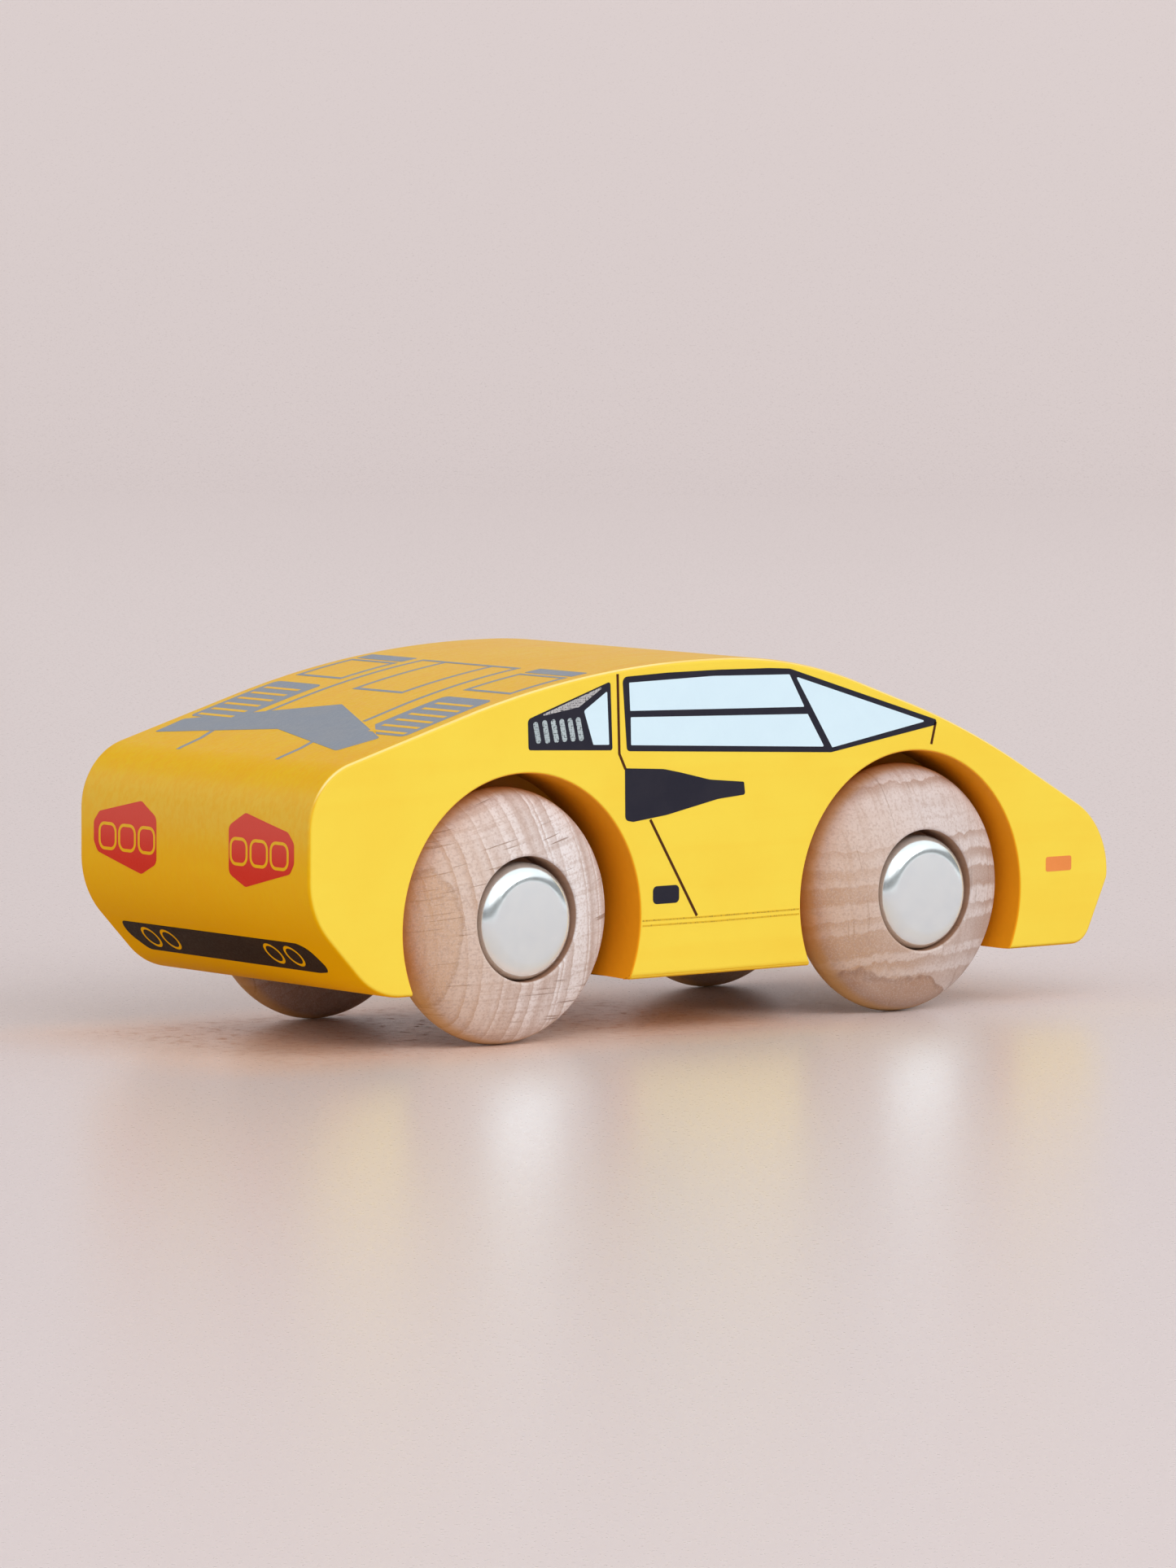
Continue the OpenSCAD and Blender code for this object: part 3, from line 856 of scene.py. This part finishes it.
sidePrint = {
    "quarter": [(-17.66, 42.28, 0.3), (-29.99, 38.34, 0.6), (-29.87, 34.74, 0.35), (-17.3, 34.18, 0.3)],
    "window": [
        (-15.85, 42.72, 0.7), (-9.0, 42.98, 0), (-1.2, 43.03, 0), (6.8, 42.92, 0), (9.9, 42.74, 2.5),
        (33.25, 35.66, 0.25), (33.07, 35.02, 0.25), (16.5, 32.45, 1.2), (-15.1, 33.98, 0.5)],
    "duct": [
        (-15.4, 31.98, 0.2), (-9.5, 31.63, 3), (-6.9, 31.1, 6), (-2.43, 30.05, 6), (2.86, 29.55, 0.2),
        (3.06, 28.02, 0.3), (-1.1, 27.7, 8), (-8.98, 26.18, 8), (-14.1, 25.6, 0.8), (-15.31, 25.83, 0.6)],
    "mark": boxOutline(-11.05, -7.05, 15.7, 17.82, 0.6),
    "panes": [
        [(-18.17, 41.15, 0.1), (-21.63, 38.99, 0.25), (-20.2, 34.95, 0.1), (-17.82, 34.85, 0.1)],
        [(-14.85, 42.02, 0.1), (-2.0, 42.32, 20), (9.83, 42.05, 0.15), (12.2, 38.08, 0.1),
         (-14.66, 38.7, 0.1)],
        [(-14.58, 37.95, 0.1), (12.72, 37.2, 0.1), (15.35, 33.18, 0.12), (-14.5, 34.66, 0.1)],
        [(10.85, 41.75, 0.12), (31.5, 35.55, 0.1), (16.63, 33.02, 0.12)],
    ],
    "cowl": [(-28.8, 38.50, 0.1), (-18.3, 41.90, 0.1), (-22.41, 39.46, 0.5)],
    "slits": [
        [(-28.35, 35.47), (-28.92, 37.99)], [(-27.0, 35.41), (-27.57, 38.14)],
        [(-25.64, 35.45), (-26.3, 38.18)], [(-24.44, 35.5), (-25.02, 38.17)],
        [(-23.16, 35.49), (-23.81, 38.22)], [(-21.95, 35.49), (-22.58, 38.27)]],
    "slitWidth": 0.72,
    "slitRound": 0.324,
    "seams": [
        [(-16.58, 43.1), (-16.26, 33.73), (-15.32, 31.88)],
        [(-11.51, 25.74), (-4.3, 13.99)],
        [(33.13, 35.41), (32.43, 32.72)]],
    "seamWidth": 0.36,
    "seamSlices": ("z", 0.4),
    "sills": [
        [(-12.6, 13.83), (-2.0, 13.79), (11.6, 13.88)],
        [(-12.6, 13.23), (-2.0, 13.19), (11.6, 13.28)]],
    "sillWidth": 0.18,
    "sillSlices": ("x", 1.0),
    "indicator": boxOutline(51.3, 55.5, 16.2, 18.0, 0.3),
}


def printSides(art):
    dark = filled(art[key] for key in ("quarter", "window", "duct", "mark"))
    printInk("sideInkRight", "side", dark, "base", inkBlack)
    printInk("sideGlassRight", "side", filled(art["panes"]), "over", inkGlass)
    slits = filled(stripOutline(slit, art["slitWidth"], art["slitRound"]) for slit in art["slits"])
    printInk("sideSlitsRight", "side", slits, "over", inkScreen)
    printInk("sideCowlRight", "side", filled([art["cowl"]]), "over", inkCowl)
    seams = filled(stripOutline(line, art["seamWidth"]) for line in art["seams"])
    printInk("sideSeamsRight", "side", seams, "base", inkSeam, art["seamSlices"])
    sills = filled(stripOutline(line, art["sillWidth"]) for line in art["sills"])
    printInk("sillLineRight", "side", sills, "base", inkDotted, art["sillSlices"])
    printInk("indicatorRight", "side", filled([art["indicator"]]), "base", inkOrange)


tailPrint = {
    "lamp": [
        (7.1, 26.5, 1.0), (10.2, 28.2, 0.8), (18.45, 26.5, 0.9), (19.6, 25.25, 0.8), (19.6, 22.9, 0.8),
        (18.8, 21.7, 0.9), (10.2, 19.6, 0.8), (7.1, 21.0, 1.0)],
    "cellSpans": [(7.3, 10.75), (11.15, 14.65), (15.0, 18.6)],
    "cellHeights": (22.0, 25.3),
    "cellRadius": 1.15,
    "cellStroke": 0.36,
    "bumper": [(18.9, 13.3, 1.0), (20.1, 12.0, 1.4), (17.9, 9.8, 1.5), (-15.4, 9.7, 3.0), (-17.9, 10.0, 0.9),
               (-16.9, 12.75, 2.0), (-15.2, 13.3, 2.0)],
    "pipes": [15.2, 11.4, -8.9, -12.75],
    "pipeHeight": 11.55,
    "pipeHalf": (1.45, 1.25),
    "pipeStroke": 0.3,
}


def printTail(art):
    printInk("tailLamps", "tail", filled([art["lamp"], flipA(art["lamp"])]), "base", inkRed)
    cells = []
    for low, high in art["cellSpans"]:
        cell = boxOutline(low, high, *art["cellHeights"], art["cellRadius"])
        cells += [(cell, art["cellStroke"]), (flipA(cell), art["cellStroke"])]
    printInk("tailCells", "tail", cells, "over", yellowPaint)
    printInk("tailBumper", "tail", filled([art["bumper"]]), "base", inkBrown)
    pipes = [(ovalOutline(y, art["pipeHeight"], *art["pipeHalf"]), art["pipeStroke"]) for y in art["pipes"]]
    printInk("tailPipes", "tail", pipes, "over", yellowPaint)


deckPrint = {
    "wing": [(-39.3, 0.9, 0.4), (-48.0, 20.4, 0.5), (-52.6, 20.0, 0.3), (-48.2, 1.6, 0.4),
             (-52.7, -15.6, 0.5), (-47.9, -17.6, 0.5)],
    "struts": [[(-50.6, 11.2), (-53.0, 10.2), (-56.7, 9.7)], [(-50.6, -8.6), (-53.0, -9.3), (-56.7, -9.6)]],
    "louvre": [(-33.8, 11.9, 0.8), (-33.8, 20.8, 0.8), (-46.9, 20.8, 0.8), (-46.9, 15.6, 0.4),
               (-44.2, 11.9, 0.4)],
    "slitPlaces": [-36.3, -38.25, -40.2, -42.15, -44.1, -46.0],
    "slitSpan": (13.3, 20.0),
    "slitWidth": 0.6,
    "box": boxOutline(-31.2, -22.6, 11.8, 20.7, 0),
    "strip": boxOutline(-22.0, -19.6, 11.8, 20.7, 0.2),
    "frameLines": [
        [(-43.4, 10.0), (-32.0, 9.9), (-20.0, 9.8)], [(-43.6, -9.0), (-32.0, -8.7), (-20.0, -8.4)],
        [(-20.31, 9.5), (-20.31, -8.1)]],
    "hatch": boxOutline(-34.2, -20.0, -4.0, 5.6, 0),
    "line": 0.62,
}


def printDeck(art):
    panels = filled([art["louvre"], flipB(art["louvre"]), art["strip"], flipB(art["strip"])])
    printInk("deckPanels", "deck", panels, "base", inkGrey)
    printInk("deckWing", "deck", filled([art["wing"]]), "wing", inkGrey)
    lines = filled(stripOutline(line, art["line"]) for line in art["struts"] + art["frameLines"])
    boxes = [(art["box"], art["line"]), (flipB(art["box"]), art["line"])]
    printInk("deckLines", "deck", lines + boxes, "lines", inkGrey)
    printInk("deckHatch", "deck", [(art["hatch"], art["line"])], "hatch", inkGrey)
    near, far = art["slitSpan"]
    slits = filled(stripOutline([(x, side * near), (x, side * far)], art["slitWidth"])
                   for x in art["slitPlaces"] for side in (-1, 1))
    printInk("deckSlits", "deck", slits, "over", yellowPaint)


frontPrint = {
    "screen": [(14.4, -17.0, 1.4), (14.4, 17.0, 1.4), (35.4, 19.3, 1.4), (35.4, -19.3, 1.4)],
    "pane": [(15.5, -16.1, 0.8), (15.5, 16.1, 0.8), (34.3, 18.2, 0.8), (34.3, -18.2, 0.8)],
    "lids": [boxOutline(43.5, 52.0, 10.5, 18.5, 0.8), boxOutline(43.5, 52.0, -18.5, -10.5, 0.8)],
    "bonnet": [(40.0, -7.6, 0.6), (40.0, 7.6, 0.6), (53.0, 6.2, 0.6), (53.0, -6.2, 0.6)],
    "line": 0.5,
    "bumper": boxOutline(-18.6, 18.6, 10.4, 13.2, 1.1),
    "lamps": [boxOutline(11.2, 18.4, 16.0, 18.3, 0.7), boxOutline(-18.4, -11.2, 16.0, 18.3, 0.7)],
}


def printFront(art):
    printInk("screenFrame", "deck", filled([art["screen"]]), "base", inkBlack)
    printInk("screenPane", "deck", filled([art["pane"]]), "over", inkGlass)
    lines = [(outline, art["line"]) for outline in art["lids"] + [art["bonnet"]]]
    printInk("bonnetLines", "deck", lines, "base", inkGrey)
    printInk("noseBumper", "nose", filled([art["bumper"]]), "base", inkBrown)
    printInk("noseLamps", "nose", filled(art["lamps"]), "base", inkOrange)


printSides(sidePrint)
print("side prints laid")
printTail(tailPrint)
print("tail prints laid")
printDeck(deckPrint)
print("deck prints laid")
printFront(frontPrint)
print("front prints laid")


# floor, light and camera

photoCamera = {
    "place": (-0.61807, -0.75948, 0.1066),
    "yaw": 0.68094,
    "pitch": 0.08017,
    "roll": -0.00437,
    "lens": 186.94,
    "sensor": 36,
    "clip": (0.05, 20),
}


def aimCamera(view):
    yaw, pitch, roll = view["yaw"], view["pitch"], view["roll"]
    ahead = Vector((math.sin(yaw) * math.cos(pitch), math.cos(yaw) * math.cos(pitch), -math.sin(pitch)))
    right = Vector((math.cos(yaw), -math.sin(yaw), 0))
    down = ahead.cross(right)
    right, down = (math.cos(roll) * right + math.sin(roll) * down,
                   math.cos(roll) * down - math.sin(roll) * right)
    deselectAll()
    bpy.ops.object.camera_add(location=view["place"])
    camera = bpy.context.object
    camera.name = "photoCamera"
    camera.rotation_euler = Matrix((right, -down, -ahead)).transposed().to_euler()
    camera.data.lens = view["lens"]
    camera.data.sensor_width = view["sensor"]
    camera.data.clip_start, camera.data.clip_end = view["clip"]
    scene.camera = camera
    scene.view_settings.view_transform = "Standard"


paperSweep = {
    "halfSize": 2.4,
    "wallHeight": 2.4,
    "wallRound": 1.0,
    "wallSegments": 24,
    "smoothAngle": 40,
    "nearTone": (0.72, 0.655, 0.655, 1),
    "farTone": (0.885, 0.82, 0.818, 1),
    "toneReach": (-0.2, 1.0),
    "rough": (0.27, 0.34),
    "specular": 0.50,
    "closeDulling": 0.7,
    "fleckTone": (0.66, 0.585, 0.575, 1),
    "fleckDepth": 0.25,
    "shadeTone": (0.85, 0.665, 0.57, 1),
    "shadeReach": (-4, 24),
    "shineTone": (1.0, 0.77, 0.56, 1),
    "grainReach": (0, 34),
    "grainScale": 560.0,
    "grainDepth": 0.08,
    "streakTone": (0.62, 0.50, 0.43, 1),
    "streakReach": (-3, 9),
    "streakDepth": 0.50,
    "footprint": ((-26, 34, 1.0), (0, 21, 1.5)),
}


def makePaper(paper, ahead):
    material, tree, shader, place = newMaterial("studioPaper")
    cover = addSpeckle(tree, place, 700.0, 1500.0)
    # painted light: the paper is painted paler towards the back wall, which brightens the wall
    away = vectors(tree, "DOT_PRODUCT", place, ahead)
    tone = blendColour(tree, spread(tree, away, *paper["toneReach"]), paper["nearTone"], paper["farTone"])
    # painted shadow and warm bounce light: the paper is tinted warm brown under and around the car, with a
    # fine laid texture close to it
    beyond = []
    for part, (middle, half, haste) in zip(parted(tree, place), paper["footprint"]):
        offset = maths(tree, "ABSOLUTE", maths(tree, "SUBTRACT", part, middle * mm))
        over = maths(tree, "SUBTRACT", offset, half * mm)
        beyond.append(times(tree, maths(tree, "MAXIMUM", over, 0.0), haste))
    reach = hypotenuse(tree, *beyond)
    close, crisp, inner = [spreadMm(tree, reach, paper[key], 1.0, 0.0)
                           for key in ("shadeReach", "grainReach", "streakReach")]
    flecks = times(tree, spread(tree, cover["Cloud"], 0.45, 0.75, 0.0, paper["fleckDepth"]), crisp)
    tone = blendColour(tree, flecks, tone, paper["fleckTone"])
    tone = blendColour(tree, close, tone, paper["shadeTone"])
    # dark laid streaks close to the wheels, a paper texture that also darkens the paper there as painted
    # contact shadow
    laid = noise(tree, place, paper["grainScale"], 4.0, 0.65)
    streak = times(tree, spread(tree, laid, 0.44, 0.66, 0.0, paper["streakDepth"]), inner)
    tone = blendColour(tree, streak, tone, blendColour(tree, 1.0, tone, paper["streakTone"], "MULTIPLY"))
    # only the camera sees the shine, and the streaks break it; near the car its tint is warmed as a painted
    # warm reflection
    seen = tree.nodes.new("ShaderNodeLightPath").outputs["Is Camera Ray"]
    dull = maths(tree, "MULTIPLY_ADD", inner, -paper["closeDulling"] * paper["specular"], paper["specular"])
    shine = times(tree, seen, maths(tree, "MULTIPLY_ADD", streak, -0.5, dull))
    feed(tree, shader, Base_Color=tone, Specular_IOR_Level=maths(tree, "MAXIMUM", shine, 0.0),
         Specular_Tint=blendColour(tree, close, (1, 1, 1, 1), paper["shineTone"]),
         Roughness=spread(tree, cover["Specks"], 0.3, 0.7, *paper["rough"]))
    height = times(tree, maths(tree, "MULTIPLY_ADD", laid, 2.0, cover["Specks"]), crisp)
    addBump(tree, shader, height, 0.35, paper["grainDepth"])
    return material


def makeSweep(paper, yaw):
    deselectAll()
    bpy.ops.mesh.primitive_plane_add(size=2 * paper["halfSize"])
    sweep = bpy.context.object
    rename(sweep, "studioSweep")
    editAll(sweep)
    bpy.ops.transform.rotate(value=yaw, orient_axis="Z", center_override=(0, 0, 0))
    ahead = Vector((math.sin(yaw), math.cos(yaw), 0))

    def atBack(a, b):
        return min(a.dot(ahead), b.dot(ahead)) * mm > paper["halfSize"] - 0.01

    pickEdges(sweep, atBack)
    bpy.ops.mesh.extrude_region_move(TRANSFORM_OT_translate={"value": (0, 0, paper["wallHeight"])})
    pickEdges(sweep, lambda a, b: atBack(a, b) and max(a.z, b.z) < 1)
    bpy.ops.mesh.bevel(offset=paper["wallRound"], segments=paper["wallSegments"], affect="EDGES")
    smoothShade(sweep, paper["smoothAngle"])
    wear(sweep, makePaper(paper, ahead))


studioAir = {
    "tone": (1.0, 0.955, 0.94, 1),
    "glint": (1.0, 1.01, 1.02, 1),
    "horizon": 0.80,
    "middle": 0.93,
    "zenith": 0.31,
    "ceiling": 1.02,
    "ceilingAgain": 2.4,
    "rail": 0.17,
}


def makeAir(light):
    world = bpy.data.worlds.new("studioAir")
    world.use_nodes = True
    tree = world.node_tree
    height = parted(tree, tree.nodes.new("ShaderNodeTexCoord").outputs["Generated"])[2]
    lower = spread(tree, height, 0.0, 0.35, light["horizon"], light["middle"])
    upper = spread(tree, height, 0.45, 1.0, 1.0, light["zenith"] / light["middle"])
    plain = times(tree, lower, upper)
    # bright metal sees a dark rail round the room with a white ceiling over it
    bounces = tree.nodes.new("ShaderNodeLightPath").outputs
    rail = times(tree, spread(tree, height, 0.02, 0.07), spread(tree, height, 0.28, 0.40, 1.0, 0.0))
    sharp = maths(tree, "MULTIPLY_ADD", rail, light["rail"] - light["ceiling"], light["ceiling"])
    again = maths(tree, "GREATER_THAN", bounces["Glossy Depth"], 1.5)
    sharp = maths(tree, "MAXIMUM", sharp, times(tree, again, light["ceilingAgain"]))
    gap = maths(tree, "SUBTRACT", sharp, plain)
    strength = maths(tree, "MULTIPLY_ADD", gap, bounces["Is Glossy Ray"], plain)
    tint = blendColour(tree, bounces["Is Glossy Ray"], light["tone"], light["glint"])
    feed(tree, tree.nodes["Background"], Strength=strength, Color=tint)
    scene.world = world


lampSet = {
    "keyBox": {"place": (0.75, -2.10, 1.45), "size": 1.30, "power": 18.4, "colour": (0.97, 0.99, 1.0)},
    "windowBox": {"place": (-0.46, -0.95, 1.10), "size": 0.95, "power": 5.0, "colour": (0.97, 0.99, 1.0)},
}
lampAim = Vector((0, 0, 0.02))


def hangLamps(lamps):
    for name, lamp in lamps.items():
        place = Vector(lamp["place"])
        deselectAll()
        bpy.ops.object.light_add(type="AREA", location=place)
        light = bpy.context.object
        light.name = name
        light.data.shape = "SQUARE"
        light.data.size = lamp["size"]
        light.data.energy = lamp["power"]
        light.data.color = lamp["colour"]
        light.rotation_euler = (lampAim - place).to_track_quat("-Z", "Y").to_euler()


makeSweep(paperSweep, photoCamera["yaw"])
makeAir(studioAir)
hangLamps(lampSet)
aimCamera(photoCamera)
deselectAll()
print("studio set")
